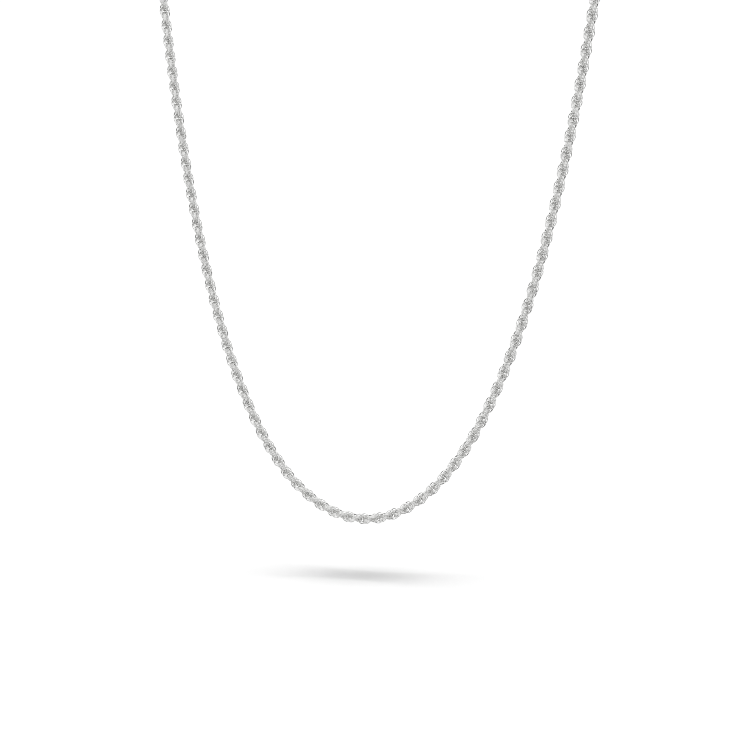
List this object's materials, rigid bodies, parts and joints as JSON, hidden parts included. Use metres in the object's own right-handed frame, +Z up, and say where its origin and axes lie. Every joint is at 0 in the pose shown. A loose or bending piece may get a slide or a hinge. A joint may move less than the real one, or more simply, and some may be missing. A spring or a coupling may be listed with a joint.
{
  "type": "rope chain necklace",
  "caption": "Silver rope chain necklace in its worn form: a closed loop round the nape that hangs in front in one open curve, with a plain ring clasp behind.",
  "frame": {"origin": "middle of the nape stretch, on the rope's centre line, where the necklace hangs on the back of the neck", "axes": "+Z up, +X to the right in the front view, the hanging front towards -Y"},
  "size_m": [0.1152, 0.0837, 0.1755],
  "materials": {
    "rope_silver": "polished silver wire links, bright edges with dark gaps between them",
    "polished_silver": "polished silver findings"
  },
  "bodies": {
    "root": {"rope_chain": "rope_silver", "clasp": "polished_silver", "end_cap_left": "polished_silver", "end_cap_right": "polished_silver", "jump_ring_left": "polished_silver", "jump_ring_right": "polished_silver"}
  },
  "joints": []
}
